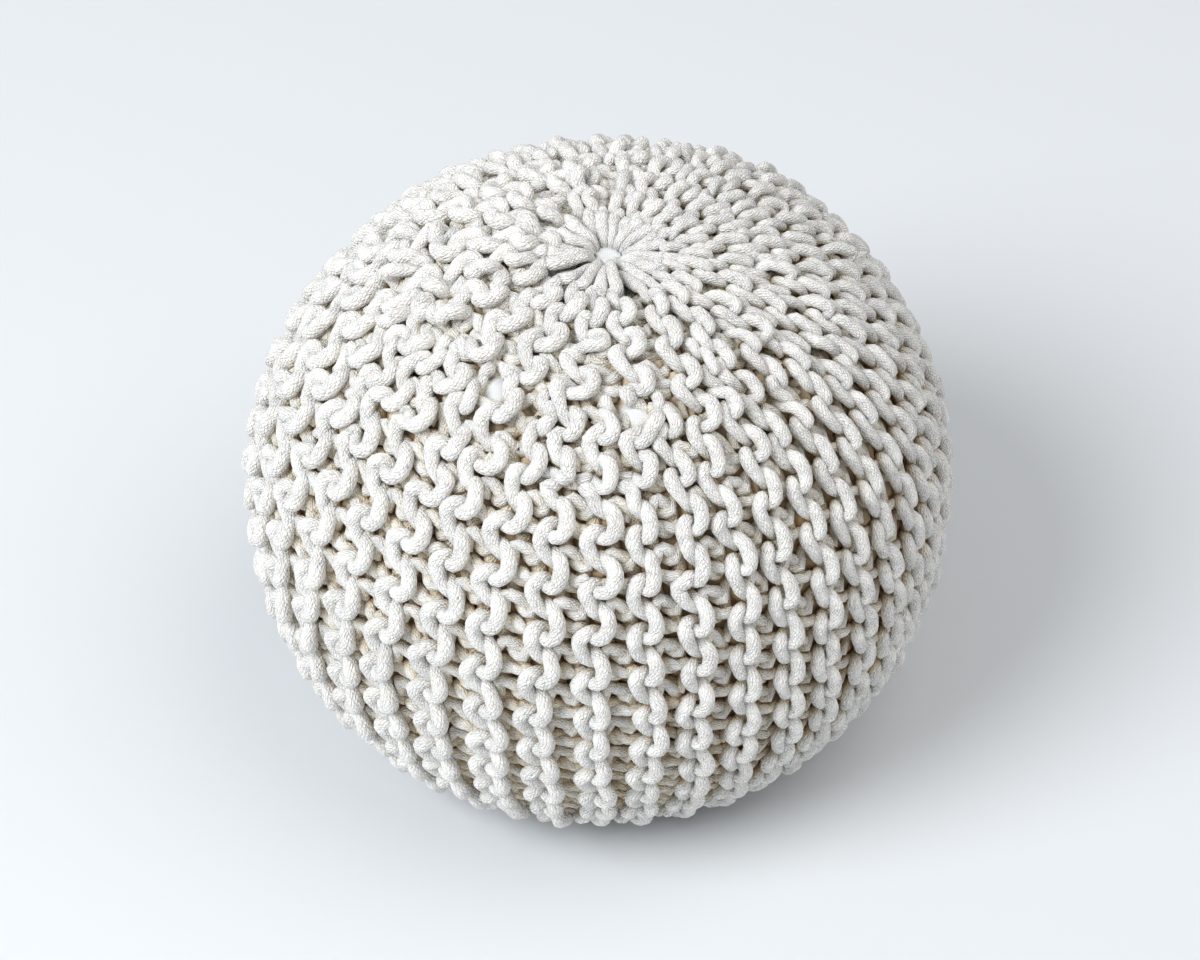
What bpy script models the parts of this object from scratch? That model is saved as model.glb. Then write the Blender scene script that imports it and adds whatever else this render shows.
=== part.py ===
"""A round knitted pouf: a garter-stitch cover of thick cotton cord over a filled lining bag.

Run it with blender --background --python part.py, or from the Text Editor. Units are metres
and +Z is up. The origin is on the floor, under the middle of the pouf, and -Y is the front.

The cover is knitted sideways: its rows run from the top gather to the bottom gather, so its
ridges stand like the ribs of a pumpkin. Every second ridge turns back before the gathers
(short rows), which leaves half as many there. The cover is closed but for the small hole
that the drawn-up end of the cord leaves at the top, where the lining bag shows.
"""

from math import asin, cos, exp, hypot, pi, radians, sin

import bmesh
import bpy

# The outer form, over the tops of the ridges
WIDTH = 0.420              # across the middle
MIDDLE_HEIGHT = 0.150      # of the widest line above the floor
CROWN_HEIGHT = 0.190       # from the widest line to the crown
FULLNESS = 2.2             # 2 is an ellipse, more is squarer in the shoulder
FLOOR_ROUNDING = 0.020     # how softly the side turns under to the floor
GATHER_DIP = 0.008         # the gather pulls the crown down by this
GATHER_DIP_WIDTH = radians(9)
GATHER_LEAN = 0.0062       # the whole crown leans this far to the right
GATHER_PULL = 0.008        # and the gather itself is pulled this far to the front

# The ridges of the knitting
RIDGES = 44                # round the middle
RIDGE_DEPTH = 0.010        # from the top of a ridge to the valley beside it
STRAND_DEPTH = 0.004       # the same between the strands at the gather
RIDGE_CROWDING = 0.13      # the ridges lie closer on the right and wider on the left
SHORT_ROWS_START = radians(27)   # above this every second ridge is missing
SHORT_ROWS_FULL = radians(36)
RIDGES_FADE = radians(136)       # the ridges flatten from here to the floor
GATHER_EDGE = radians(13)        # inside this only the drawn-up strands are left

# The thickness of the knitting
WALL = 0.022               # two layers of cord, from the top of a ridge to the lining
GATHER_WALL = 0.012        # one layer of drawn-up strands
GATHER_HOLE_RADIUS = 0.006
LINING_GAP = 0.0003        # between the knitting and the lining bag

# How finely the surfaces are divided
POINTS_AT_GATHER = RIDGES
POINTS_AT_CROWN = 2 * RIDGES
POINTS_AT_SIDE = 4 * RIDGES
LINING_POINTS = RIDGES
GATHER_RINGS = 3
CROWN_RINGS = 4
SIDE_RINGS = 8             # above the widest line, and as many below it
LINING_RINGS = 14


def smooth_step(value, low, high):
    """0 below low and 1 above high, with a soft change between."""
    share = min(1.0, max(0.0, (value - low) / (high - low)))
    return share * share * (3 - 2 * share)


def polar_at_radius(radius):
    """The polar angle, from the crown, at which the form is that wide."""
    return asin((radius / (WIDTH / 2)) ** (FULLNESS / 2))


def meridian(polar):
    """Radius and height of the outer form at a polar angle, 0 at the crown and pi below."""
    power = 2 / FULLNESS
    radius = WIDTH / 2 * max(0.0, sin(polar)) ** power
    rise = abs(cos(polar)) ** power * (1 if polar < pi / 2 else -1)
    height = MIDDLE_HEIGHT + CROWN_HEIGHT * rise
    if height < -FLOOR_ROUNDING:
        height = 0.0
    elif height < FLOOR_ROUNDING:
        height = (height + FLOOR_ROUNDING) ** 2 / (4 * FLOOR_ROUNDING)
    height -= GATHER_DIP * exp(-((polar / GATHER_DIP_WIDTH) ** 2))
    return radius, height


def meridian_normal(polar):
    """The outward direction there, as its radial and upward parts."""
    step = 0.002
    radius_a, height_a = meridian(max(polar - step, 1e-4))
    radius_b, height_b = meridian(min(polar + step, pi - 1e-4))
    along = hypot(radius_b - radius_a, height_b - height_a)
    return (height_a - height_b) / along, (radius_b - radius_a) / along


def form_point(polar, turn, depth):
    """A point that lies depth under the outer form, at a turn from the front to the right."""
    radius, height = meridian(polar)
    out, up = meridian_normal(polar)
    radius -= out * depth
    height -= up * depth
    longitude = turn + RIDGE_CROWDING * cos(turn)
    lift = max(0.0, (height - MIDDLE_HEIGHT) / CROWN_HEIGHT)
    return (
        radius * sin(longitude) + GATHER_LEAN * lift ** 2,
        -radius * cos(longitude) - GATHER_PULL * lift ** 8,
        height,
    )


def ridge_depth(polar, turn):
    """How far the knitted surface lies under the tops of the ridges."""
    all_ridges = abs(cos(RIDGES / 2 * turn))
    full_rows_only = abs(cos(RIDGES / 4 * turn))
    share = smooth_step(polar, SHORT_ROWS_START, SHORT_ROWS_FULL)
    profile = (1 - share) * full_rows_only + share * all_ridges
    at_gather = smooth_step(polar, polar_at_radius(GATHER_HOLE_RADIUS), GATHER_EDGE)
    full_depth = STRAND_DEPTH + (RIDGE_DEPTH - STRAND_DEPTH) * at_gather
    at_floor = smooth_step(polar, RIDGES_FADE, contact_polar())
    fade = smooth_step(at_gather, 0.0, 0.3) * (1 - at_floor)
    return full_depth * fade * (1 - profile)


def wall_depth(polar, _turn):
    """How far the inside of the knitting lies under the tops of the ridges."""
    share = smooth_step(polar, radians(4), SHORT_ROWS_START)
    return GATHER_WALL + (WALL - GATHER_WALL) * share


def lining_depth(polar, turn):
    return wall_depth(polar, turn) + LINING_GAP


def contact_polar():
    """The polar angle at which the form meets the floor."""
    share = (MIDDLE_HEIGHT + FLOOR_ROUNDING) / CROWN_HEIGHT
    return pi / 2 + asin(share ** (FULLNESS / 2))


def spread(first, last, count):
    """count angles from first to last, evenly apart."""
    return [first + (last - first) * i / (count - 1) for i in range(count)]


def add_ring(mesh, polar, count, depth):
    """One ring of points round the form."""
    turns = [2 * pi * i / count for i in range(count)]
    return [mesh.verts.new(form_point(polar, turn, depth(polar, turn))) for turn in turns]


def join_rings(mesh, upper, lower, inside=False):
    """Faces between two rings. The lower one has as many points as the upper, or twice as many."""
    faces = []
    count = len(upper)
    for i in range(count):
        after = (i + 1) % count
        if len(lower) == count:
            faces.append((upper[i], lower[i], lower[after], upper[after]))
        else:
            left, middle, right = lower[2 * i], lower[2 * i + 1], lower[2 * after]
            faces.append((upper[i], left, middle))
            faces.append((upper[i], middle, upper[after]))
            faces.append((upper[after], middle, right))
    for corners in faces:
        mesh.faces.new(corners[::-1] if inside else corners)


def join_all(mesh, rings, inside=False):
    for upper, lower in zip(rings, rings[1:]):
        join_rings(mesh, upper, lower, inside)


def finish_object(name, mesh, material):
    data = bpy.data.meshes.new(name)
    mesh.to_mesh(data)
    mesh.free()
    data.shade_smooth()
    data.set_sharp_from_angle(angle=radians(60))
    data.materials.append(material)
    thing = bpy.data.objects.new(name, data)
    bpy.context.collection.objects.link(thing)
    return thing


def make_material(name, colour, roughness):
    material = bpy.data.materials.new(name)
    material.use_nodes = True
    shader = material.node_tree.nodes["Principled BSDF"]
    shader.inputs["Base Color"].default_value = (*colour, 1.0)
    shader.inputs["Roughness"].default_value = roughness
    shader.inputs["Metallic"].default_value = 0.0
    return material


def outer_rings(mesh):
    """The knitted surface, from the rim of the gather hole down to the floor."""
    step = radians(5)
    rim = polar_at_radius(GATHER_HOLE_RADIUS)
    gather = spread(rim, GATHER_EDGE - step, GATHER_RINGS)
    crown = spread(GATHER_EDGE, SHORT_ROWS_START, CROWN_RINGS)
    above = spread(SHORT_ROWS_START + step, pi / 2, SIDE_RINGS)
    below = spread(pi / 2, contact_polar(), SIDE_RINGS + 1)[1:]
    rows = [(polar, POINTS_AT_GATHER) for polar in gather]
    rows += [(polar, POINTS_AT_CROWN) for polar in crown]
    rows += [(polar, POINTS_AT_SIDE) for polar in above + below]
    return [add_ring(mesh, polar, count, ridge_depth) for polar, count in rows]


def lining_rings(mesh, depth):
    """The smooth surface between the knitting and the lining bag."""
    angles = spread(polar_at_radius(GATHER_HOLE_RADIUS), contact_polar(), LINING_RINGS)
    return [add_ring(mesh, polar, LINING_POINTS, depth) for polar in angles]


def make_cover(material):
    mesh = bmesh.new()
    outside = outer_rings(mesh)
    inside = lining_rings(mesh, wall_depth)
    join_all(mesh, outside)
    join_all(mesh, inside, inside=True)
    join_rings(mesh, outside[0], inside[0], inside=True)
    mesh.faces.new(outside[-1][::-1])
    mesh.faces.new(inside[-1])
    return finish_object("knitted_cover", mesh, material)


def make_lining(material):
    mesh = bmesh.new()
    rings = lining_rings(mesh, lining_depth)
    join_all(mesh, rings)
    mesh.faces.new(rings[0])
    mesh.faces.new(rings[-1][::-1])
    return finish_object("lining_bag", mesh, material)


def main():
    for thing in list(bpy.data.objects):
        bpy.data.objects.remove(thing)
    make_cover(make_material("undyed_cotton_cord", (0.78, 0.76, 0.72), 0.92))
    make_lining(make_material("white_cotton_lining", (0.86, 0.86, 0.85), 0.85))


main()
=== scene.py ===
# %% [markdown]
# # A knitted pouf in thick cotton cord
#
# The real pouf is one long garter-stitch piece, knitted sideways in braided cotton cord, joined
# into a round and drawn up at both ends over a filled lining bag. It could be faked with a bump
# on a ball, but the stitches are as big as a thumb and light falls between them. So every
# stitch is modelled here as the cord that it is: a tube that follows the path of a real loop.

import bpy
import numpy as np
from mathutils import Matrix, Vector
from mathutils.bvhtree import BVHTree


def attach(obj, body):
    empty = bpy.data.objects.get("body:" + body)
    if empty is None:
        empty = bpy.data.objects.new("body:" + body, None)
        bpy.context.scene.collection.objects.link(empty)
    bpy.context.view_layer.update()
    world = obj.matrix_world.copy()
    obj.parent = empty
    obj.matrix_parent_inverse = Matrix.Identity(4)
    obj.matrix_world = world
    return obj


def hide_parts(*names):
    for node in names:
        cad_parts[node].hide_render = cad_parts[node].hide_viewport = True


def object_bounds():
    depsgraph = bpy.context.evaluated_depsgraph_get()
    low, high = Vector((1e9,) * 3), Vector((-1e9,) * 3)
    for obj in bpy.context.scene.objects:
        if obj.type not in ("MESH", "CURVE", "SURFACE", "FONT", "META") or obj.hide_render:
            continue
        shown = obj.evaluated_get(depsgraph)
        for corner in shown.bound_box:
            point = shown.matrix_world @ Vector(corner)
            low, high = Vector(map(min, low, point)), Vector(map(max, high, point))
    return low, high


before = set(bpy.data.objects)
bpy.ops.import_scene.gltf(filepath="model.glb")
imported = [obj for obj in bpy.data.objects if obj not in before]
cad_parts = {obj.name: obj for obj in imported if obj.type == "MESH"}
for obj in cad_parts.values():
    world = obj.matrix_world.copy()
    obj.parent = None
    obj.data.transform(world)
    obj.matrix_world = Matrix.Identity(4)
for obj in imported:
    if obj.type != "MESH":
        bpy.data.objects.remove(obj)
solid_box = [list(corner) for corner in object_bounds()]
low, high = (Vector(corner) for corner in solid_box)
print("solid box in mm:", [round(side * 1000) for side in high - low])

# %% [markdown]
# ## The form under the knitting
#
# The filled bag gives the pouf its shape: full shoulders, a flat base where it stands, and a
# dimple where the cover is drawn up. A curve that is a little squarer than an ellipse gives
# all of it. The sizes are those of the solid, so the stitches lie exactly on it.

# %% The outline of the pouf, from the crown to the middle of the base
WIDTH = high.x - low.x
MIDDLE_HEIGHT = 0.150     # the widest place, over the floor
CROWN_HEIGHT = 0.190      # the crown, over the widest place
FULLNESS = 2.2            # 2 is an ellipse, and more is squarer
FLOOR_ROUNDING = 0.020    # the base rounds into the side over this height
GATHER_DIP = 0.008
GATHER_DIP_WIDTH = np.radians(9)
GATHER_LEAN = 0.0062      # the crown leans this far to the right
GATHER_PULL = 0.008       # and the gather this far to the front

polar = np.linspace(1e-4, np.pi - 1e-4, 4000)
power = 2 / FULLNESS
outline_radius = WIDTH / 2 * np.sin(polar) ** power
rise = np.sign(np.cos(polar)) * np.abs(np.cos(polar)) ** power
outline_height = MIDDLE_HEIGHT + CROWN_HEIGHT * rise
near_floor = np.clip(outline_height, -FLOOR_ROUNDING, FLOOR_ROUNDING)
rounded = (near_floor + FLOOR_ROUNDING) ** 2 / (4 * FLOOR_ROUNDING)
outline_height = np.where(outline_height > FLOOR_ROUNDING, outline_height, rounded)
outline_height = outline_height - GATHER_DIP * np.exp(-((polar / GATHER_DIP_WIDTH) ** 2))

step_radius = np.gradient(outline_radius)
step_height = np.gradient(outline_height)
step_length = np.hypot(step_radius, step_height)
normal_out = -step_height / step_length
normal_up = step_radius / step_length
way = np.concatenate([[0], np.cumsum(np.hypot(np.diff(outline_radius), np.diff(outline_height)))])
WAY_LENGTH = way[-1]
print("way from the crown over the side to the middle of the base, mm:", round(WAY_LENGTH * 1000))


# %% A place on the form: how far down the way, at what turn, how far above or below the surface
RIDGE_CROWDING = 0.13     # the ridges lie closer on the right and wider on the left
LUMP = 0.0022             # the filling pushes the skin out and in by about this


def way_radius(along):
    return np.interp(along, way, outline_radius)


def lumps(along, turn):
    """Soft unevenness of the filling, as a lift in metres. It fades out towards the base."""
    wave = (np.sin(2 * turn + 9 * along + 0.6) + np.sin(3 * turn - 14 * along + 2.1)
            + 0.7 * np.sin(5 * turn + 21 * along + 4.0))
    fade = np.clip((0.40 - along) / 0.10, 0, 1) * np.clip(along / 0.08, 0, 1)
    return LUMP * fade * wave / 2


def place(along, turn, lift):
    """Points in metres. turn 0 is the front, and lift is along the surface's own normal."""
    out = np.interp(along, way, normal_out)
    up = np.interp(along, way, normal_up)
    lift = lift + lumps(along, turn)
    radius = np.interp(along, way, outline_radius) + out * lift
    height = np.interp(along, way, outline_height) + up * lift
    longitude = turn + RIDGE_CROWDING * np.cos(turn)
    raised = np.clip((height - MIDDLE_HEIGHT) / CROWN_HEIGHT, 0, None)
    x = radius * np.sin(longitude) + GATHER_LEAN * raised ** 2
    y = -radius * np.cos(longitude) - GATHER_PULL * raised ** 8
    return np.stack([x, y, height], axis=-1)


# %% [markdown]
# ## How the cover is knitted
#
# Garter stitch is rows of loops, each row pulled through the one before, once from behind and
# once from the front in turn. Two rows make one ridge. Here the rows run from the top gather
# to the bottom gather, so 44 ridges stand round the pouf like ribs. To make a ball of it, the
# knitter turns back early on every second ridge (a short row), so that only 22 reach the
# gathers. The loops pull apart a little at the turns, and the white lining shows there.

# %% Counts and sizes of the knitting
RIDGES = 44
CORD = 0.0083             # the thickness of the cord
RIDGE_RISE = 0.0065       # of a ridge's cords over the middle of the fabric
FABRIC_MIDDLE = -(RIDGE_RISE + CORD / 2)
FIRST_STITCH = 0.036      # from the crown, where the drawn-up strands end
STITCHES = 20
STITCH = (WAY_LENGTH - 2 * FIRST_STITCH) / STITCHES
LONGER_STITCHES = 0.07    # stitches grow longer and shorter by this share on the way down
STITCH_WAVE = 5           # stitches from the longest to the shortest
FRONT_STRANDS = 0.006     # the drawn-up strands are longer in front by this
FRONT_FADE = 3            # and pass it on to this many stitches
BACK_STRANDS = -0.008     # at the back they are shorter
BACK_STITCHES = -0.012    # and the back's upper stitches lie this much closer to the crown
CLOSEST_STITCH = 5        # most of all this one
RIDGE_WANDER = 0.0016     # of a ridge to the sides on its way down
OPENING_LEAD = 0.4        # a short-row ridge starts to open this many stitches before its first
OPENING_LENGTH = 1.6      # and is full after this many
half_turn = np.pi / RIDGES
print("stitch length mm:", round(STITCH * 1000, 1))


def stitch_place(number, turn):
    """How far down the way the stitch with this number (or part of a number) lies."""
    wave = np.sin(np.pi * (number - 2) / STITCH_WAVE) + np.sin(np.pi * 2 / STITCH_WAVE)
    front = (1 + np.cos(turn)) / 2
    closer = number / CLOSEST_STITCH * np.exp(1 - number / CLOSEST_STITCH)
    back = (BACK_STRANDS + BACK_STITCHES * closer) * (1 - number / STITCHES)
    return (FIRST_STITCH + STITCH * (number - LONGER_STITCHES * STITCH_WAVE / np.pi * wave)
            + FRONT_STRANDS * np.exp(-number / FRONT_FADE) * front + back * (1 - front))


rng = np.random.default_rng(7)
drift_phase = rng.uniform(0, 2 * np.pi, (RIDGES, 3))


def short_row_stitches(ridge):
    """The first and the one after the last stitch of a short-row ridge, longer on the right."""
    turn = 2 * np.pi * ridge / RIDGES
    on_right = np.sin(turn) > 0.35
    return (2 if on_right else 3), STITCHES - 3


def opened(ridge, along):
    """How far a short-row ridge has opened: 0 where it isn't there, 1 at its full width."""
    first, last = short_row_stitches(ridge % RIDGES)
    turn = 2 * half_turn * ridge
    start = stitch_place(first, turn)
    end = stitch_place(last, turn)
    from_top = np.clip((along - start + OPENING_LEAD * STITCH) / (OPENING_LENGTH * STITCH), 0, 1)
    from_bottom = np.clip((end + OPENING_LEAD * STITCH - along) / (OPENING_LENGTH * STITCH), 0, 1)
    share = np.minimum(from_top, from_bottom)
    return share * share * (3 - 2 * share)


def ridge_middle(ridge, along):
    """The turn of a ridge's middle, which wanders a little on its way down."""
    first, second = drift_phase[ridge % RIDGES, :2]
    wander = np.sin(31 * along + first) + 0.6 * np.sin(67 * along + second)
    return 2 * half_turn * ridge + RIDGE_WANDER * wander / np.maximum(way_radius(along), 0.03)


def ridge_lines(ridge, along):
    """The turns of a ridge's left edge, its middle and its right edge at a place on the way."""
    middle = ridge_middle(ridge, along)
    before = ridge_middle(ridge - 1, along)
    after = ridge_middle(ridge + 1, along)
    if ridge % 2:
        left = middle + (before - middle) / 2 * opened(ridge, along)
        right = middle + (after - middle) / 2 * opened(ridge, along)
    else:
        left = before + (middle - before) / 2 * opened(ridge - 1, along)
        right = after + (middle - after) / 2 * opened(ridge + 1, along)
    return left, middle, right


# %% [markdown]
# ## One stitch
#
# A loop starts at its foot, rises as a leg, turns over in its head and comes down again. The
# table gives the half of a loop from the foot to the head. "aside" is in stitch lengths from
# the loop's middle, "across" runs from the foot line (0) to the head line (1) with "spread"
# added to it, and "level" goes from 0, where the foot lies, to 1, where the head lies, with
# "tilt" added, which is taken away on the way down. The cord is squeezed where loops cross,
# which is its "girth", and there it also gives way to its neighbours more easily, because it
# isn't "firm".
#
# No two real loops are alike, so each is a little longer, further or higher than the rule,
# most of all where the short rows turn. On the right the ridges are pulled into narrow ropes
# with deep valleys between them, and low down the valleys are deep as well.

# %% The path of a half loop
#             aside  across  spread  level  tilt  girth  firm
HALF_LOOP = [(0.500, 0.0, -1.08, 0.05, 0.00, 1.08, 1.0),
             (0.360, 0.0, -0.92, 0.05, 0.03, 1.03, 1.0),
             (0.225, 0.0, -0.40, 0.18, 0.12, 0.90, 0.7),
             (0.175, 0.0,  0.35, 0.50, 0.17, 0.78, 0.6),
             (0.165, 0.0,  1.00, 0.66, 0.06, 0.74, 0.7),
             (0.255, 1.0, -1.10, 0.34, 0.08, 0.74, 0.6),
             (0.315, 1.0, -0.48, 0.50, 0.17, 0.80, 0.6),
             (0.300, 1.0,  0.30, 0.80, 0.12, 0.92, 0.8),
             (0.205, 1.0,  0.86, 0.98, 0.03, 1.03, 1.0),
             (0.000, 1.0,  1.10, 0.98, 0.00, 1.08, 1.0)]
left_half = np.array(HALF_LOOP) * [-1, 1, 1, 1, -1, 1, 1]
right_half = np.array(HALF_LOOP)[::-1][1:-1]
LOOP = np.concatenate([left_half, right_half])
LOOP[:, 3] += LOOP[:, 4]
LOOP = np.delete(LOOP, 4, axis=1)
print("points on one loop:", len(LOOP))

# %% How the loops lie
SPREAD = 0.0061           # of a loop's head past the line of its ridge
MOST_SPREAD = 0.50        # of it, as a share of the way from the foot line to the head line
SKEW = {"knit": 0.07, "purl": 0.13}  # how the arcs lean towards each other, in stitch lengths
TWIST = 0.3               # the heads lean the other way, in spreads for a stitch length
RIGHT_TWIST = 1.4         # on the right this share of it is lost, so that they lean back a little
RIGHT_ARCS = 0.20         # and there the arcs are longer by this share
SIDE_SPREAD = 0.25        # the spread is less on the right and more on the left by this share
RIGHT_SPREAD = 0.1        # and on the right less by this as well
KNIT_RISE = 1.10          # of the knit heads over the middle of the fabric, in ridge rises
PURL_RISE = -0.70         # and of the purl heads, which lie under it
DEEPER_RISE = 0.15        # both are more by this where the valleys are deep
DEEP_FROM = 0.24          # the valleys grow deeper from here down
DEEP_LENGTH = 0.10        # over this length
DEEP_BELOW = 0.8          # up to this share of their depth on the right
SUNK_LEGS = 0.0022        # the legs sink into the valleys by this, times the next two:
SUNK_EVERYWHERE = 0.3
SUNK_WHERE_DEEP = 1.5
ROOMY = 0.022             # a ridge this wide leaves the cord its full girth
SQUEEZE = 0.28            # a narrower one squeezes it, as if by this share at no width at all
LEAST_GIRTH = 0.78        # but never to less than this
MIDDLE_GIRTH = 0.98       # of the cord in front, as a share of CORD
SIDE_GIRTH = 0.11         # it is slimmer on the right and fuller on the left by this
RIGHT_GIRTH = 0.04        # and on the right slimmer by this as well

# %% How uneven the loops are
EVEN = 0.75               # the unevenness of most loops, as a share of the values below
UNEVEN_TURNS = 1.1        # and how much more there is where the short rows turn
TURNS = 0.135             # which is round this place
TURNS_WIDTH = 0.045
# Shares of a loop's length, spread, rise and girth, and shifts down the way, aside and outwards
LENGTH_SHARE, SPREAD_SHARE, RISE_SHARE, GIRTH_SHARE = 0.07, 0.12, 0.06, 0.03
PLACE_SHIFT, SIDE_SHIFT, LIFT_SHIFT = 0.0012, 0.0009, 0.0005


def row_points(ridge, kind, first, last):
    """One row, from stitch first to stitch last: along, turn, lift, girth and firmness."""
    rows = []
    own_turn = 2 * half_turn * ridge
    side = np.sin(own_turn)
    right_side = max(side, 0)
    if kind == "knit":
        in_valley = (LOOP[:, 1] == 0) & (LOOP[:, 2] > 0)
    else:
        in_valley = LOOP[:, 1] * LOOP[:, 2] < 0
    for stitch in range(first, last):
        aside, across, spread, level, girth, firm = LOOP.T
        middle = stitch_place(stitch + 0.5, own_turn)
        at_turns = np.exp(-((middle - TURNS) / TURNS_WIDTH) ** 2)
        wobble = rng.normal(0, 1, 6) * (EVEN + UNEVEN_TURNS * at_turns)
        from_foot = aside - 0.5 * np.sign(aside)
        longer = 1 + RIGHT_ARCS * right_side
        aside = np.where(across > 0, aside * longer, 0.5 * np.sign(aside) + from_foot * longer)
        twist = TWIST * (1 - RIGHT_TWIST * right_side)
        spread = spread - twist * (aside * across + from_foot * (1 - across) * right_side)
        stretch = 1 + LENGTH_SHARE * wobble[0] * np.cos(np.pi * aside) ** 2
        aside = aside * stretch + SKEW[kind] * spread
        along = stitch_place(stitch + 0.5 + aside, own_turn)
        along = along + PLACE_SHIFT * wobble[1] * np.cos(np.pi * aside)
        left, centre, right = ridge_lines(ridge, along)
        foot, head = (left, centre) if kind == "knit" else (centre, right)
        radius = way_radius(along)
        height = (head - foot) * radius
        narrower = 1 - SIDE_SPREAD * side - RIGHT_SPREAD * right_side
        reach = np.minimum(SPREAD, MOST_SPREAD * height) * narrower * spread
        reach = reach * (1 + SPREAD_SHARE * wobble[2])
        turn = foot + (head - foot) * across + (reach + SIDE_SHIFT * wobble[3]) / radius
        deep = max(right_side, DEEP_BELOW * np.clip((middle - DEEP_FROM) / DEEP_LENGTH, 0, 1))
        rises = KNIT_RISE + DEEPER_RISE * deep if kind == "knit" else PURL_RISE - DEEPER_RISE * deep
        rise = RIDGE_RISE * (2 * level - 1) * rises
        lift = FABRIC_MIDDLE + rise * (1 + RISE_SHARE * wobble[4]) + LIFT_SHIFT * wobble[5]
        lift = lift - SUNK_LEGS * (SUNK_EVERYWHERE + SUNK_WHERE_DEEP * deep) * in_valley
        room = np.clip(1 - SQUEEZE + SQUEEZE * (2 * height) / ROOMY, LEAST_GIRTH, 1.0)
        girth = girth * room * (MIDDLE_GIRTH - SIDE_GIRTH * side - RIGHT_GIRTH * right_side)
        girth = girth * (1 + GIRTH_SHARE * rng.normal(0, 1, len(girth)))
        rows.append(np.stack([along, turn, lift, girth, firm], axis=1))
    return np.concatenate(rows)


# %% [markdown]
# ## The drawn-up ends
#
# At both gathers the edge loops of the 22 full ridges are pulled into long strands that meet
# round a small hole. Each strand comes up out of the hole, runs outwards over the top and
# becomes the first loop of its ridge. A short-row ridge has no strand: its cord just turns.
# There is no room for all of them side by side at the hole, so every third one lies deeper,
# and each is a little thicker or thinner and higher or lower than the next.

# %% The path between the two rows of a ridge
HOLE = 0.0100             # from the middle of the gather to the strands that line its hole
#          share of the way from the hole to the first stitch, aside, lift, girth, shows in front
STRAND = [(0.76, -0.35, -0.0180, 0.84, 0),
          (0.37, -0.10, -0.0190, 0.76, 0),
          (0.10,  0.00, -0.0200, 0.66, 0),
          (-0.04, 0.00, -0.0165, 0.58, 0),
          (-0.05, 0.00, -0.0105, 0.58, 1),
          (0.08,  0.00, -0.0060, 0.66, 1),
          (0.30,  0.04, -0.0050, 0.78, 1),
          (0.58,  0.12, -0.0056, 0.87, 1),
          (0.86,  0.14, -0.0050, 0.95, 1)]
LOWER_STRANDS = 0.0050    # every third strand lies this much deeper, under its neighbours
STRAND_FIRM = 0.9
# How uneven the strands are, the last only where they show
STRAND_LENGTH_SHARE, STRAND_TURN_SHARE, STRAND_GIRTH_SHARE = 0.08, 0.14, 0.10
STRAND_LIFT_SHIFT, STRAND_FRONT_SHIFT = 0.0012, 0.0014
strand_rng = np.random.default_rng(11)


def strand_points(ridge, at_top):
    """From the back of the knit row's last loop, through the gather, to the purl row's first."""
    wobble = rng.normal(0, 1, 4)
    share, aside, lift, girth, in_front = np.array(STRAND).T
    own_turn = 2 * half_turn * ridge
    first = stitch_place(0, own_turn) if at_top else WAY_LENGTH - stitch_place(STITCHES, own_turn)
    away = np.clip(share, 0, None)
    along = HOLE + (first - HOLE) * (share + STRAND_LENGTH_SHARE * wobble[0] * away)
    place_on_way = along if at_top else WAY_LENGTH - along
    left, centre, right = ridge_lines(ridge, np.full(len(along), FIRST_STITCH))
    turn = centre + (right - centre) * (aside + STRAND_TURN_SHARE * wobble[1])
    lower = LOWER_STRANDS * (ridge // 2 % 3 == 1) * (1 - away) * in_front
    lift = lift + STRAND_LIFT_SHIFT * wobble[2] * away - lower
    fuller, higher = strand_rng.normal(0, 1, 2)
    girth = girth * (1 + STRAND_GIRTH_SHARE * fuller)
    lift = lift + STRAND_FRONT_SHIFT * higher * in_front
    firm = np.full(len(along), STRAND_FIRM)
    return np.stack([place_on_way, turn, lift, girth, firm], axis=1)


def ridge_path(ridge):
    """The whole path of one ridge: up the knit row, through the top, down the purl row."""
    short = ridge % 2 == 1
    first, last = short_row_stitches(ridge) if short else (0, STITCHES)
    knit = row_points(ridge, "knit", first, last)[::-1]
    purl = row_points(ridge, "purl", first, last)
    if short:
        return np.concatenate([knit, purl])
    top = strand_points(ridge, True)
    bottom = strand_points(ridge, False)
    return np.concatenate([knit, top, purl, bottom[::-1]])


# %% [markdown]
# ## The cords push each other apart
#
# The paths so far are drawn by rule, so cords run a little into each other where loops hook
# together. In the real cover each cord keeps its thickness and its length, resists bending
# and leans on its neighbours. The same happens here in small steps: points of two cords that
# are too close move apart, each stretch of cord pulls back to its length, sharp bends open,
# and a weak pull keeps every point near its place on the form. In a few places the real
# knitting stands open, and there the cords are held apart as well.

# %% Places where the knitting stands open
#               way down, degrees round, radius, and whether the lining bulges up to the light;
#               the first is the hole of the gather, which the strands leave open by themselves
OPEN_PLACES = [(0.000,   0, 0.0050, True),
               (0.126, -87, 0.0050, True),
               (0.119, -68, 0.0055, True),
               (0.120, -38, 0.0060, True),
               (0.125,   1, 0.0065, True),
               (0.091, -80, 0.0045, False),
               (0.072, -74, 0.0035, False),
               (0.056, -71, 0.0035, False),
               (0.103, -62, 0.0040, False),
               (0.088, -14, 0.0035, False)]
OPEN_PLACE_LIFT = -0.006  # of the middle of an open place
BULGE_LIFT = -0.0095      # of the lining in an open place
BULGE_FALL = 0.0009       # how much lower the bulge lies at the rim of the open place


def from_open_place(along, turn, place_down, degrees):
    """Distance on the form from the middle of an open place."""
    round_away = (turn - np.radians(degrees) + np.pi) % (2 * np.pi) - np.pi
    reach = way_radius((along + place_down) / 2) * round_away
    return np.hypot(along - place_down, reach)


# %% Which points are close to each other
def unit(vectors):
    return vectors / np.maximum(np.linalg.norm(vectors, axis=-1, keepdims=True), 1e-12)


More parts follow.
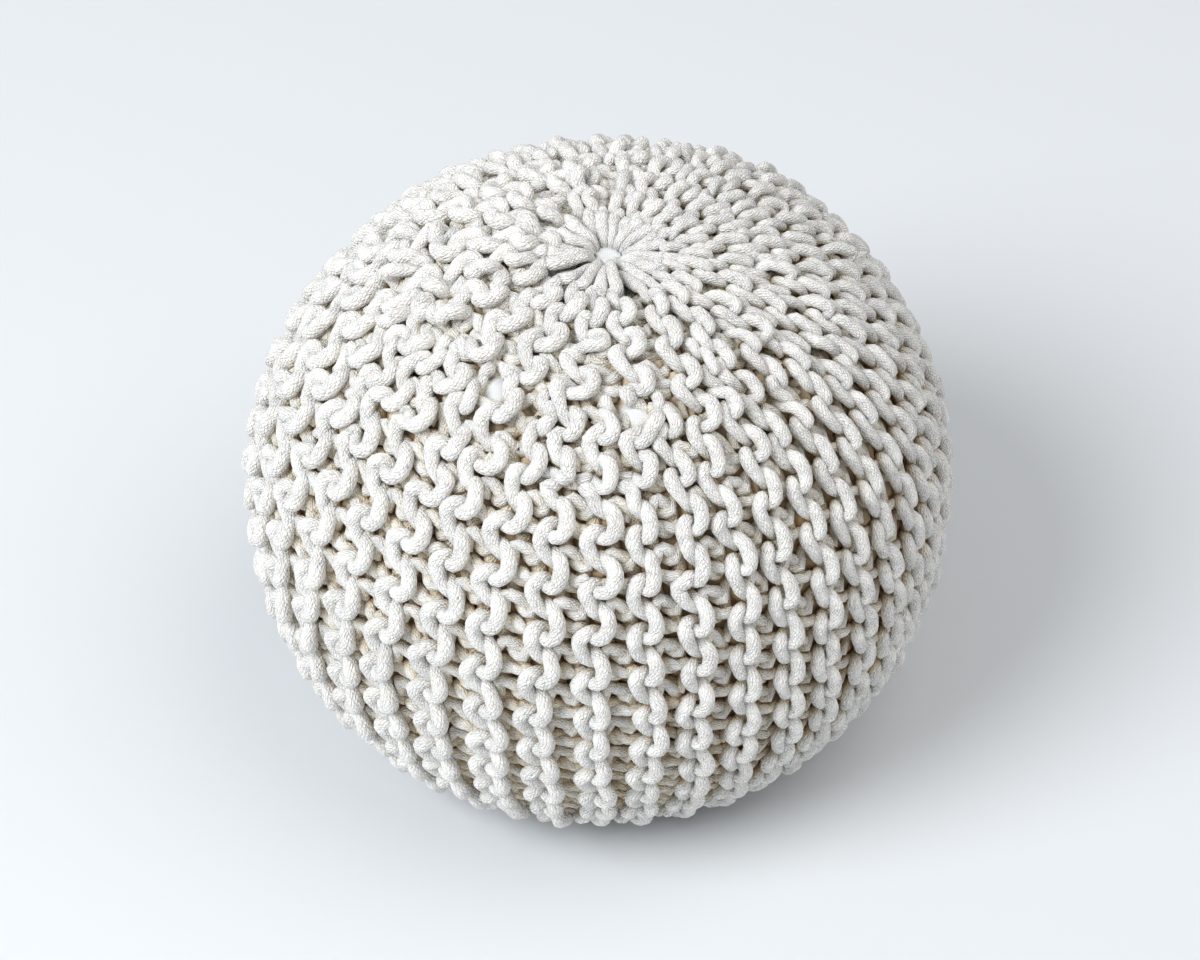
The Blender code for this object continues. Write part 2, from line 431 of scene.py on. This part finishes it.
def close_pairs(points, reach):
    """The numbers of all pairs of points closer than reach, found through a grid of cells."""
    cell = np.floor(points / reach).astype(np.int64) + 512
    key = (cell[:, 0] << 22) + (cell[:, 1] << 11) + cell[:, 2]
    order = np.argsort(key, kind="stable")
    sorted_key = key[order]
    found = []
    for step in np.ndindex(3, 3, 3):
        shift = ((step[0] - 1) << 22) + ((step[1] - 1) << 11) + (step[2] - 1)
        if shift < 0:
            continue
        begin = np.searchsorted(sorted_key, key + shift, "left")
        end = np.searchsorted(sorted_key, key + shift, "right")
        count = end - begin
        one = np.repeat(np.arange(len(points)), count)
        offset = np.arange(count.sum()) - np.repeat(np.cumsum(count) - count, count)
        other = order[np.repeat(begin, count) + offset]
        if shift == 0:
            one, other = one[one < other], other[one < other]
        near = ((points[one] - points[other]) ** 2).sum(axis=1) < reach * reach
        found.append(np.stack([one[near], other[near]]))
    return np.concatenate(found, axis=1)


# %% Settling all the cords at once
BEND = 0.02               # the share of a bend that opens in a step
SLACK = 1.04              # the knitter leaves a little more cord in each loop than it needs
HOME = 0.015              # the share of a point's way back to its drawn place made in a step
STRETCH = 0.25            # the share of a wrong length that each end of it mends in a step
EASE = 0.9                # the share of a cut into one neighbour that is mended in a step
SQUEEZED = 0.97           # soft cords that touch are this much thinner than their girth
LOOK_AGAIN = 12           # steps from one search for neighbours to the next
NEIGHBOURS = 1.35 * CORD  # points this close together are neighbours
OWN_POINTS = 3            # unless they are this close in number on one cord
SETTLE_STEPS = 60
open_middles = [place(down, np.radians(degrees), OPEN_PLACE_LIFT)
                for down, degrees, *rest in OPEN_PLACES[1:]]
open_radii = [radius for *rest, radius, bulges in OPEN_PLACES[1:]]


def of_two_cords(one, other, strand):
    """Those of the pairs whose points aren't next to each other on one cord."""
    apart = (strand[one] != strand[other]) | (np.abs(one - other) > OWN_POINTS)
    return one[apart], other[apart]


def settle(points, radius, strand, steps):
    """Points moved until cords of these radii hardly cut into each other."""
    home = points.copy()
    joined = strand[1:] == strand[:-1]
    length = SLACK * np.linalg.norm(np.diff(points, axis=0), axis=1)
    inner = (joined[:-1] & joined[1:])[:, None]
    for step in range(steps):
        if step % LOOK_AGAIN == 0:
            one, other = of_two_cords(*close_pairs(points, NEIGHBOURS), strand)
        gap = points[other] - points[one]
        distance = np.sqrt((gap ** 2).sum(axis=1)) + 1e-9
        push = np.clip(radius[one] + radius[other] - distance, 0, None)
        shift = gap * (0.5 * push / distance)[:, None]
        touching = np.bincount(one, push > 0, len(points)) + np.bincount(other, push > 0, len(points))
        ease = EASE / np.maximum(touching, 1) ** 0.5
        for axis in range(3):
            move = (np.bincount(other, shift[:, axis], len(points))
                    - np.bincount(one, shift[:, axis], len(points)))
            points[:, axis] += ease * move
        between = np.diff(points, axis=0)
        now = np.sqrt((between ** 2).sum(axis=1)) + 1e-9
        pull = between * (STRETCH * joined * (1 - length / now))[:, None]
        points[:-1] += pull
        points[1:] -= pull
        bend = 0.5 * (points[:-2] + points[2:]) - points[1:-1]
        points[1:-1] += BEND * inner * bend
        points += HOME * (home - points)
        for middle, opening in zip(open_middles, open_radii):
            away = points - middle
            distance = np.linalg.norm(away, axis=1)
            inside = distance < opening + radius
            grow = (opening + radius[inside]) / distance[inside] - 1
            points[inside] += 0.5 * away[inside] * grow[:, None]
        points[:, 2] = np.maximum(points[:, 2], radius)
    print("deepest cut into a neighbour mm:", round(1000 * push.max(), 1),
          "mean of those that touch:", round(1000 * push[push > 0].mean(), 2))
    return points


paths = [ridge_path(ridge) for ridge in range(RIDGES)]
strand = np.repeat(np.arange(RIDGES), [len(path) for path in paths])
drawn = np.concatenate(paths)
print("points on all the cords:", len(drawn))
start = place(drawn[:, 0], drawn[:, 1], drawn[:, 2])
outwards = (place(drawn[:, 0], drawn[:, 1], drawn[:, 2] + 0.001) - start) / 0.001
laid = settle(start.copy(), SQUEEZED * CORD / 2 * drawn[:, 3] * drawn[:, 4], strand, SETTLE_STEPS)
print("the cords moved, mm:", round(1000 * np.linalg.norm(laid - start, axis=1).mean(), 1))


# %% [markdown]
# ## Where the light can't reach
#
# Light that gets down between the cords has gone from cotton to cotton and grown warm. A
# render shows the dark there but too little of the warmth. So how much of the sky the other
# cords take from each point is measured here, as its shelter, and the materials paint it into
# the colour as a warmer, darker shade. Low on the pouf the same shelter takes more light than
# at the top, which faces the sky, so it is painted darker there, and with that counted in it is
# called shade.

# %% How sheltered each point is by the cords over it
SHELTER_REACH = 0.018     # cords further off than this don't count
SHELTER_NEAREST = 0.8 * CORD    # and nearer ones count as if they were this far off
SHELTER_STRENGTH = 0.9    # how fast cords over a point fill its sky
# Painted shade: the same shelter is painted darker the lower it lies on the pouf
SKY_PLACES = (0.000, 0.045, 0.150, 0.300, 0.400)    # on the way down, and there how much of the
SKY_LOSS = (0.20, 0.70, 0.94, 1.38, 1.70)           # shelter still tells: the top faces the sky


def shelter_of(points, outwards, strand):
    """The share of the sky over each point that other cords take, 0 in the open."""
    one, other = of_two_cords(*close_pairs(points, SHELTER_REACH), strand)
    between = points[other] - points[one]
    distance = np.maximum(np.linalg.norm(between, axis=1), SHELTER_NEAREST)
    seen = CORD * np.linalg.norm(np.gradient(points, axis=0), axis=1)
    total = np.zeros(len(points))
    for here, there, way_there in ((one, other, between), (other, one, -between)):
        above = np.clip((way_there * outwards[here]).sum(axis=1) / distance, 0, 1)
        taken = above * np.minimum(seen[there], CORD ** 2) / (np.pi * distance ** 2)
        total += np.bincount(here, taken, len(points))
    return 1 - np.exp(-SHELTER_STRENGTH * total)


shelter = shelter_of(laid, unit(outwards), strand)
# The painted shade of each point: its shelter, painted darker low on the pouf
shade = shelter * np.interp(drawn[:, 0], SKY_PLACES, SKY_LOSS)
print("shelter from least to most:", np.percentile(shelter, [5, 25, 50, 75, 95]).round(2))


# %% [markdown]
# ## From a path to a cord
#
# A smooth curve is laid through the path's points, and a ring of ten points is set round it
# at every step. The rings are turned as little as possible from one to the next, as a cord
# lies when nobody twists it. The steps are finer where the cord has little shelter, because
# there it can be seen. The UV map holds the real length along the cord and the share of the
# way round it, so that the braid of the cord can follow every loop.

# %% The tube round a path
SIDES = 10
STEPS_IN_SIGHT = 2
STEPS_HIDDEN = 1
IN_SIGHT = 0.57           # a stretch of cord with less shelter than this can be seen
# Painted shade: each cord is painted lighter on its outward side and darker on its inward side
LIT_FACE = 0.4            # how much less shade there is on the side of a cord that faces outwards
FAR_FACE = 0.3            # and how much is added on the side that faces inwards


def smooth_curve(points):
    """A Catmull-Rom curve through the points, in finer steps where they can be seen."""
    ends = 2 * points[:1] - points[1:2], 2 * points[-1:] - points[-2:-1]
    padded = np.concatenate([ends[0], points, ends[1]])
    in_sight = (points[:-1, -1] + points[1:, -1]) / 2 < IN_SIGHT
    steps = np.where(in_sight, STEPS_IN_SIGHT, STEPS_HIDDEN)
    stretch = np.repeat(np.arange(len(steps)), steps)
    first_of_stretch = np.cumsum(steps) - steps
    share = ((np.arange(len(stretch)) - first_of_stretch[stretch]) / steps[stretch])[:, None]
    before, start, end, after = (padded[stretch + k] for k in range(4))
    curve = 0.5 * (2 * start + (end - before) * share
                   + (2 * before - 5 * start + 4 * end - after) * share ** 2
                   + (3 * start - before - 3 * end + after) * share ** 3)
    return np.concatenate([curve, points[-1:]])


def turned_frames(curve):
    """Two cross directions at every place, turned as little as possible along the curve."""
    ahead = unit(np.gradient(curve, axis=0))
    side = np.empty_like(ahead)
    start = np.cross(ahead[0], [0.3, 0.5, 0.81])
    side[0] = start / np.linalg.norm(start)
    for i in range(len(curve) - 1):
        turned = side[i] - ahead[i + 1] * (side[i] @ ahead[i + 1])
        side[i + 1] = turned / np.sqrt(turned @ turned)
    return side, np.cross(ahead, side)


def cord_tube(centre, girth, outwards, shade, shelter):
    """Points, faces, UVs and shade of a closed tube round one path."""
    curve = smooth_curve(np.column_stack([centre, girth, outwards, shade, shelter]))
    centre = curve[:, :3]
    girth = curve[:, 3]
    side, over = turned_frames(centre)
    angle = 2 * np.pi * np.arange(SIDES) / SIDES
    radius = CORD / 2 * girth
    ring = (np.cos(angle)[None, :, None] * side[:, None, :]
            + np.sin(angle)[None, :, None] * over[:, None, :])
    points = (centre[:, None, :] + radius[:, None, None] * ring).reshape(-1, 3)
    facing = (ring * unit(curve[:, None, 4:7])).sum(axis=2)
    # the painted shade of each point, lighter on the cord's outward side, darker on its inward side
    shade = curve[:, 7, None] * (1 - LIT_FACE * facing) + FAR_FACE * np.clip(-facing, 0, 1)
    points[:, 2] = np.maximum(points[:, 2], 0.0)
    count = len(centre)
    row = np.arange(count - 1)[:, None] * SIDES
    here = np.arange(SIDES)[None, :]
    following = (here + 1) % SIDES
    quads = np.stack([row + here, row + following,
                      row + SIDES + following, row + SIDES + here], axis=-1).reshape(-1, 4)
    length = np.concatenate([[0], np.cumsum(np.linalg.norm(np.diff(centre, axis=0), axis=1))])
    round_share = np.arange(SIDES + 1) / SIDES
    uv = np.empty((count - 1, SIDES, 4, 2))
    uv[:, :, (0, 1), 0] = length[:-1, None, None]
    uv[:, :, (2, 3), 0] = length[1:, None, None]
    uv[:, :, (0, 3), 1] = round_share[None, :-1, None]
    uv[:, :, (1, 2), 1] = round_share[None, 1:, None]
    return points, quads, uv.reshape(-1, 2), shade.ravel(), length[-1]


# %% [markdown]
# ## Putting the cover together
#
# One mesh of the whole cover would be too heavy to work with, so it is made as six gores,
# like the segments of an orange, each with a sixth of the ridges.

# %% The gores of the cover
GORES = 6
BRAID_SHIFT = 0.37        # so that the braids of two cords don't start alike


def make_mesh_object(name, points, quads, caps, uv):
    """A smooth mesh from arrays of points, quads and end caps."""
    mesh = bpy.data.meshes.new(name)
    loops = np.concatenate([quads.ravel(), *caps])
    sizes = np.array([4] * len(quads) + [len(cap) for cap in caps], np.int32)
    starts = (np.cumsum(sizes) - sizes).astype(np.int32)
    mesh.vertices.add(len(points))
    mesh.vertices.foreach_set("co", points.astype(np.float32).ravel())
    mesh.loops.add(len(loops))
    mesh.loops.foreach_set("vertex_index", loops.astype(np.int32))
    mesh.polygons.add(len(sizes))
    mesh.polygons.foreach_set("loop_start", starts)
    mesh.polygons.foreach_set("loop_total", sizes)
    layer = mesh.uv_layers.new(name="cord")
    flat = np.zeros((len(loops), 2), np.float32)
    flat[:len(uv)] = uv
    layer.data.foreach_set("uv", flat.ravel())
    mesh.update(calc_edges=True)
    mesh.validate()
    mesh.shade_smooth()
    piece = bpy.data.objects.new(name, mesh)
    bpy.context.scene.collection.objects.link(piece)
    return piece


def store_shade(piece, values):
    """The shade of each point, as an attribute that the material reads to paint shade into the colour.
    """
    attribute = piece.data.attributes.new("shade", "FLOAT", "POINT")
    attribute.data.foreach_set("value", values.astype(np.float32))


def make_gore(number, ridges):
    """The cords of these ridges as one piece, and the length of cord in it."""
    all_points, all_quads, all_caps, all_uv, all_shade = [], [], [], [], []
    offset = 0
    cord_length = 0
    for ridge in ridges:
        own = strand == ridge
        points, quads, uv, shaded, length = cord_tube(
            laid[own], drawn[own, 3], outwards[own], shade[own], shelter[own])
        all_shade.append(shaded)
        all_points.append(points)
        all_quads.append(quads + offset)
        all_uv.append(uv + [BRAID_SHIFT * ridge, 0])
        last_ring = offset + len(points) - SIDES
        all_caps.append(np.arange(offset, offset + SIDES)[::-1])
        all_caps.append(np.arange(last_ring, last_ring + SIDES))
        offset += len(points)
        cord_length += length
    piece = make_mesh_object(f"knitted_gore_{number}", np.concatenate(all_points),
                             np.concatenate(all_quads), all_caps, np.concatenate(all_uv))
    store_shade(piece, np.concatenate(all_shade))
    return piece, cord_length


gores = []
total_cord = 0
for number in range(GORES):
    first = RIDGES * number // GORES
    last = RIDGES * (number + 1) // GORES
    gore, cord_length = make_gore(number + 1, range(first, last))
    total_cord += cord_length
    gores.append(gore)
    triangles = sum(len(face.vertices) - 2 for face in gore.data.polygons)
    print(gore.name, "ridges:", last - first, "triangles:", triangles)
print("cord in the cover, m:", round(total_cord, 1))


# %% [markdown]
# ## The lining bag
#
# Under the knitting lies a firmly filled bag of smooth white cotton. Only its skin shows,
# in the hole at the top and between loose stitches. The filling presses it against the cords
# from inside, and it swells a little into every gap. So the ball is laid inside the knitting,
# a ray from each of its points finds the cord above it, and the skin is then stretched smooth
# between all the places where cords hold it down. Blender's cloth could blow it up against
# the 44 cords instead, but that is slow, and only small spots of the skin show.

# %% The lining bag
LINING_SEGMENTS = 248
LINING_RINGS = 164
CROWDED_RINGS = 0.4       # the rings lie closer near the gathers, by this share
LINING_DEPTH = 0.0255     # of the ball, before it swells
SWELL = (0.0026, 0.0014)  # how much higher a point lies than the middle of its neighbours, above
SWELL_PLACES = (0.20, 0.32)    # and below these places, because the cover is looser above
SWELL_STEPS = 40
HIGHEST = -0.0095         # the skin comes no nearer to the cover's outside than this
CORD_GAP = 0.0005         # between the skin and the cord over it
SHADE_BLUR = 6            # steps by which the shade of the cords spreads on the skin


def swollen(lift_limit, swell, steps):
    """The lifts of a skin that the filling presses up against the limits, on a grid."""
    lift = lift_limit.copy()
    for step in range(steps):
        middle = (np.roll(lift, 1, axis=1) + np.roll(lift, -1, axis=1)) / 4
        middle[1:-1] += (lift[:-2] + lift[2:]) / 4
        middle[0] += (lift[0].mean() + lift[1]) / 4
        middle[-1] += (lift[-1].mean() + lift[-2]) / 4
        lift = np.minimum(lift_limit, middle + swell)
    return lift


def make_lining():
    """The skin of the bag, pressed against the gores from inside."""
    bpy.ops.object.select_all(action="DESELECT")
    bpy.ops.mesh.primitive_uv_sphere_add(segments=LINING_SEGMENTS, ring_count=LINING_RINGS, radius=1)
    bag = bpy.context.object
    bag.name = "lining_skin"
    points = np.array([v.co for v in bag.data.vertices])
    share = np.arccos(np.clip(points[:, 2], -1, 1)) / np.pi
    along = WAY_LENGTH * (share - CROWDED_RINGS * np.sin(2 * np.pi * share) / (2 * np.pi))
    turn = np.arctan2(points[:, 0], -points[:, 1])
    inside = place(along, turn, np.full(len(points), -LINING_DEPTH))
    ahead = unit(place(along, turn, np.zeros(len(points))) - inside)
    surfaces = bpy.context.evaluated_depsgraph_get()
    trees = [BVHTree.FromObject(gore, surfaces) for gore in gores]
    limit = np.full(len(points), HIGHEST)
    for i, (spot, direction) in enumerate(zip(inside.tolist(), ahead.tolist())):
        for tree in trees:
            hit = tree.ray_cast(spot, direction, LINING_DEPTH + limit[i])
            if hit[0]:
                limit[i] = min(limit[i], hit[3] - LINING_DEPTH - CORD_GAP)
    row = np.rint(share * LINING_RINGS).astype(int)
    order = np.lexsort((turn, row))
    rim = order[(row[order] > 0) & (row[order] < LINING_RINGS)]
    grid = limit[rim].reshape(LINING_RINGS - 1, LINING_SEGMENTS)
    rows_along = along[rim].reshape(grid.shape)
    lift = swollen(grid, np.interp(rows_along, SWELL_PLACES, SWELL), SWELL_STEPS)
    # How much the cords cover each point of the skin, blurred, for its painted shade
    covered = (grid < HIGHEST).astype(float)
    for step in range(SHADE_BLUR):
        covered = (covered + np.roll(covered, 1, axis=1) + np.roll(covered, -1, axis=1)) / 3
        covered[1:-1] = (covered[:-2] + covered[1:-1] + covered[2:]) / 3
    lifts = np.empty(len(points))
    sheltered = np.empty(len(points))
    lifts[rim] = lift.ravel()
    sheltered[rim] = covered.ravel()
    for pole, ring in ((row == 0, 0), (row == LINING_RINGS, -1)):
        lifts[pole] = lift[ring].mean()
        sheltered[pole] = covered[ring].mean()
    for down, degrees, radius, bulges in OPEN_PLACES:
        if bulges:
            distance = from_open_place(along, turn, down, degrees)
            bulge = BULGE_LIFT - BULGE_FALL * (distance / radius) ** 3
            sheltered[bulge > lifts] = 0
            lifts = np.maximum(lifts, bulge)
    final = place(along, turn, lifts)
    final[:, 2] = np.maximum(final[:, 2], 0.0005)
    bag.data.vertices.foreach_set("co", final.ravel())
    bag.data.update()
    bag.data.shade_smooth()
    # painted shade on the skin: darker where the cords cover it and lower on the pouf
    store_shade(bag, sheltered * np.interp(along, SKY_PLACES, SKY_LOSS))
    print("the lining lies this deep, mm:", np.percentile(-lifts * 1000, [1, 10, 50, 90]).round(1),
          "share in the open:", round(float((sheltered < 0.5).mean()), 2))
    return bag


lining = make_lining()
print("lining points:", len(lining.data.vertices))


# %% [markdown]
# ## Materials
#
# There are two: the cord and the lining. Both are built of nodes. A photo of knitting could be
# laid on them instead, but its light and shade would be wrong from every other side. Patterns
# are measured in real millimetres, along the cord in its UV map or in the object's own place.

# %% Helpers for colours and nodes
def linear(hex_colour):
    """The linear value of an sRGB hex colour."""
    parts = [int(hex_colour[i:i + 2], 16) / 255 for i in (1, 3, 5)]
    return (*[p / 12.92 if p <= 0.04045 else ((p + 0.055) / 1.055) ** 2.4 for p in parts], 1)


def add_node(tree, kind, settings, inputs):
    """A new node's outputs. Each of its inputs is given a value or another node's socket."""
    node = tree.nodes.new(kind)
    for name, value in settings.items():
        setattr(node, name, value)
    for name, value in inputs.items():
        if isinstance(value, bpy.types.NodeSocket):
            tree.links.new(value, node.inputs[name])
        else:
            node.inputs[name].default_value = value
    return node.outputs


def add_noise(tree, spot, scale, detail=2.0, roughness=0.5):
    """The outputs of a Noise node with this many patches a metre."""
    return add_node(tree, "ShaderNodeTexNoise", {}, {
        "Vector": spot, "Scale": scale, "Detail": detail, "Roughness": roughness})


def new_material(name, settings):
    """A new material, its node tree and its shader, which has these settings."""
    material = bpy.data.materials.new(name)
    material.use_nodes = True
    shader = material.node_tree.nodes["Principled BSDF"]
    for socket, value in settings.items():
        shader.inputs[socket].default_value = value
    return material, material.node_tree, shader


# %% [markdown]
# ## Braided cotton cord
#
# The cord is a round braid of undyed cotton yarns over a soft core. Yarns of two directions
# cross over and under each other, which the UV map lets run along every loop. The yarns are
# spun from short fibres, so the face is dull and a little furry, tight in one place and worn
# soft in the next, with grey flecks of the fibres and grey painted shade in the grooves between
# the yarns. Light goes a little way into cotton and comes out warmer, which is the slight
# subsurface here. Down between the cords that happens many times over, so the sheltered
# cotton is painted with a warmer, darker, brownish shade.

# %% Undyed braided cotton cord
YARN_ACROSS = 12          # yarns side by side round the cord: 2.2 mm each
YARN_ALONG = 0.0032       # from crossing to crossing along the cord
YARN_WANDER = 150.0       # yarns leave their way a little in patches of 7 mm: 150 a metre
WORN_PATCHES = 95.0       # tight and worn places: 10 mm
FLUFF_PATCHES = 560.0     # fluff: 2 mm, drawn coarser than fibres really are
TONE_PATCHES = 34.0       # slight differences in the cotton's own colour: 3 cm
# The shade of a place, and the painted shade tone that its colour is multiplied by
CORD_PAINTED_SHADE = ((0.20, "#FFFFFF"), (0.48, "#FAEED9"), (0.72, "#E9CFA9"), (1.0, "#BE9A70"))


def add_math(tree, operation, *values):
    """The result of a Math node with these values or sockets."""
    return add_node(tree, "ShaderNodeMath", {"operation": operation}, dict(enumerate(values)))[0]


def add_painted_shade_colour(tree, open_colour, painted_tones):
    """The open colour, multiplied by a painted shade that is warmer and darker the more sheltered the
    place is.
    """
    shade = add_node(tree, "ShaderNodeAttribute", {"attribute_name": "shade"}, {})
    ramp = tree.nodes.new("ShaderNodeValToRGB")
    tree.links.new(shade["Fac"], ramp.inputs["Fac"])
    stops = ramp.color_ramp.elements
    stops[0].position, stops[0].color = painted_tones[0][0], linear(painted_tones[0][1])
    stops[1].position, stops[1].color = painted_tones[-1][0], linear(painted_tones[-1][1])
    for position, tone in painted_tones[1:-1]:
        stops.new(position).color = linear(tone)
    return add_node(tree, "ShaderNodeMix", {"data_type": "RGBA", "blend_type": "MULTIPLY"},
                    {"Factor": 1.0, "A": open_colour, "B": ramp.outputs["Color"]})["Result"]


def make_cord_material():
    """Yarns of two directions, fibres, flecks and fluff, from the cord's UV map."""
    material, tree, shader = new_material("undyed_braided_cotton_cord", {
        "Roughness": 0.92, "Specular IOR Level": 0.2, "Sheen Weight": 0.25,
        "Sheen Roughness": 0.6, "Subsurface Weight": 0.20, "Subsurface Scale": 0.003,
        "Subsurface Radius": (1.0, 0.75, 0.5)})
    uv = add_node(tree, "ShaderNodeUVMap", {"uv_map": "cord"}, {})["UV"]
    cord = add_node(tree, "ShaderNodeSeparateXYZ", {}, {"Vector": uv})
    spot = add_node(tree, "ShaderNodeTexCoord", {}, {})["Object"]
    uneven = add_noise(tree, spot, YARN_WANDER, roughness=0.6)["Color"]
    shift = add_node(tree, "ShaderNodeSeparateColor", {}, {"Color": uneven})
    round_turn = add_math(tree, "MULTIPLY", cord["Y"], np.pi * YARN_ACROSS)
    phases = []
    for direction, wander in ((1, shift["Red"]), (-1, shift["Green"])):
        slope = add_math(tree, "MULTIPLY_ADD", cord["X"], direction * np.pi / YARN_ALONG, round_turn)
        phases.append(add_math(tree, "MULTIPLY_ADD", wander, 7.0, slope))
    product = add_math(tree, "MULTIPLY", *[add_math(tree, "SINE", phase) for phase in phases])
    first_over = add_math(tree, "GREATER_THAN", product, 0.0)
    across = add_node(tree, "ShaderNodeMix", {},
                      {"Factor": first_over, "A": phases[1], "B": phases[0]})[0]
    length = add_node(tree, "ShaderNodeMix", {},
                      {"Factor": first_over, "A": phases[0], "B": phases[1]})[0]
    crown = add_math(tree, "ABSOLUTE", add_math(tree, "SINE", across))
    dive = add_math(tree, "POWER", add_math(tree, "ABSOLUTE", add_math(tree, "SINE", length)), 0.5)
    yarn = add_math(tree, "MULTIPLY", crown, dive)
    fibre_spot = add_node(tree, "ShaderNodeCombineXYZ", {}, {
        "X": add_math(tree, "MULTIPLY", across, 0.7), "Y": add_math(tree, "MULTIPLY", length, 0.22)})[0]
    fibres = add_noise(tree, fibre_spot, 1.0, roughness=0.65)["Fac"]
    worn = add_noise(tree, spot, WORN_PATCHES)["Fac"]
    tight = add_node(tree, "ShaderNodeMapRange", {},
                     {"Value": worn, "From Min": 0.36, "From Max": 0.60, "To Min": 0.6})["Result"]
    fluff = add_noise(tree, spot, FLUFF_PATCHES, 3.0, 0.6)["Fac"]
    braid = add_math(tree, "MULTIPLY", add_math(tree, "MULTIPLY_ADD", fibres, 1.2, yarn), tight)
    height = add_math(tree, "MULTIPLY_ADD", fluff, 0.9, braid)
    bump = add_node(tree, "ShaderNodeBump", {},
                    {"Height": height, "Strength": 1.0, "Distance": 0.0010})["Normal"]
    tree.links.new(bump, shader.inputs["Normal"])

    patches = add_noise(tree, spot, TONE_PATCHES)["Fac"]
    cotton = add_node(tree, "ShaderNodeMix", {"data_type": "RGBA"}, {
        "Factor": patches, "A": linear("#FFFDF8"), "B": linear("#FAF8F2")})["Result"]
    # Grey flecks of the fibres, and grey painted shade in the grooves where the yarns dip
    fleck_and_groove_shade = add_math(tree, "SUBTRACT", fluff, add_math(tree, "MULTIPLY_ADD", yarn, 0.45, fibres))
    fleck_and_groove_shade_share = add_node(tree, "ShaderNodeMapRange", {}, {
        "Value": fleck_and_groove_shade, "From Min": -0.05, "From Max": 0.24})["Result"]
    flecked_and_groove_shaded = add_node(tree, "ShaderNodeMix", {"data_type": "RGBA"}, {
        "Factor": add_math(tree, "MULTIPLY", fleck_and_groove_shade_share, tight),
        "A": cotton, "B": linear("#948E84")})["Result"]
    # The colour is multiplied by the painted shade, warm and dark where other cords shelter it
    colour = add_painted_shade_colour(tree, flecked_and_groove_shaded, CORD_PAINTED_SHADE)
    tree.links.new(colour, shader.inputs["Base Color"])
    return material


# %% [markdown]
# ## White lining cotton
#
# The bag is sewn from bleached cambric, a fine, close plain weave without any shine. A thread
# is a third of a millimetre, too fine to see from here, so it is drawn four times as coarse.
# Under the cords the warm, dim light that comes down to it is painted into its colour as shade.

# %% The lining cotton
THREAD = 0.0013
# The shade of a place on the skin, and the painted shade tone that its colour is multiplied by
LINING_PAINTED_SHADE = ((0.25, "#FFFFFF"), (0.60, "#F3E1C6"), (1.0, "#CDAE86"))


def make_lining_material():
    """A plain weave that only shows close up."""
    material, tree, shader = new_material("white_cotton_cambric", {"Roughness": 0.85})
    spot = add_node(tree, "ShaderNodeTexCoord", {}, {})["Object"]
    axes = add_node(tree, "ShaderNodeSeparateXYZ", {}, {"Vector": spot})
    threads = [add_math(tree, "SINE", add_math(tree, "MULTIPLY", axes[axis], np.pi / THREAD))
               for axis in ("X", "Y")]
    weave = add_math(tree, "ABSOLUTE", add_math(tree, "MULTIPLY", *threads))
    bump = add_node(tree, "ShaderNodeBump", {},
                    {"Height": weave, "Strength": 0.3, "Distance": 0.0002})["Normal"]
    tree.links.new(bump, shader.inputs["Normal"])
    white = add_node(tree, "ShaderNodeMix", {"data_type": "RGBA"}, {
        "Factor": weave, "A": linear("#D2D4D4"), "B": linear("#DDDFDF")})["Result"]
    # The weave's colour is multiplied by painted shade where the cords cover the skin
    tree.links.new(add_painted_shade_colour(tree, white, LINING_PAINTED_SHADE), shader.inputs["Base Color"])
    return material


cord_material = make_cord_material()
lining_material = make_lining_material()
for gore in gores:
    gore.data.materials.append(cord_material)
lining.data.materials.append(lining_material)

# %% [markdown]
# ## Floor, light and camera
#
# The pouf stands on a plain pale floor in soft studio light. The main light is a wide one at
# the left in front, like a window. A wider and weaker one on the right opens the shadows, and
# the pale surroundings do the rest. Small lamps would throw sharp shadows that hide stitches.

# %% The studio
LIT_SPOT = Vector((0, 0, 0.15))
scene = bpy.context.scene
scene.view_settings.view_transform = "Standard"

bpy.ops.object.select_all(action="DESELECT")
bpy.ops.mesh.primitive_plane_add(size=12)
floor = bpy.context.object
floor.name = "studio_floor"
floor_paper = {"Roughness": 0.95, "Base Color": linear("#D9DDE0")}
floor.data.materials.append(new_material("matt_white_paper", floor_paper)[0])

world = bpy.data.worlds.new("studio")
scene.world = world
world.use_nodes = True
sky = world.node_tree.nodes["Background"].inputs
sky["Color"].default_value = linear("#FAFBFF")
sky["Strength"].default_value = 0.42


def add_area_light(name, spot, size, power, colour):
    """A round lamp at this spot, turned towards the pouf."""
    light = bpy.data.lights.new(name, "AREA")
    light.shape = "DISK"
    light.size = size
    light.energy = power
    light.color = linear(colour)[:3]
    lamp = bpy.data.objects.new(name, light)
    lamp.location = spot
    lamp.rotation_euler = (LIT_SPOT - Vector(spot)).to_track_quat("-Z", "Y").to_euler()
    scene.collection.objects.link(lamp)


add_area_light("window_side", (-3.00, -2.02, 3.68), 3.0, 236, "#FAFCFF")
add_area_light("room_side", (2.20, -0.45, 4.55), 4.5, 94, "#FFFCF8")

# %% The camera
CAMERA_DISTANCE = 1.70
CAMERA_ELEVATION = np.radians(43.5)
FOCAL_LENGTH_PX = 2830    # in a picture this wide:
PICTURE_WIDTH = 1200
LOOK_AT = Vector((0.001, 0, 0.147))

camera_data = bpy.data.cameras.new("camera")
camera_data.lens = FOCAL_LENGTH_PX / PICTURE_WIDTH * camera_data.sensor_width
camera = bpy.data.objects.new("camera", camera_data)
back = Vector((0, -np.cos(CAMERA_ELEVATION), np.sin(CAMERA_ELEVATION)))
camera.location = LOOK_AT + back * CAMERA_DISTANCE
camera.rotation_euler = (np.pi / 2 - CAMERA_ELEVATION, 0, 0)
scene.collection.objects.link(camera)
scene.camera = camera
print("lens mm:", round(camera_data.lens, 1))

# %% [markdown]
# ## What each piece stands for
#
# All pieces ride on the one body. The gores stand for the solid of the cover and the skin for
# that of the lining bag, under which a firm filling lies.

# %% Hang each piece on the body and hide the solid it stands for
FILL = 0.8                # from 0, slack, to 1, tight
for gore in gores:
    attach(gore, "root")
    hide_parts("knitted_cover")
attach(lining, "root")
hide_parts("lining_bag")
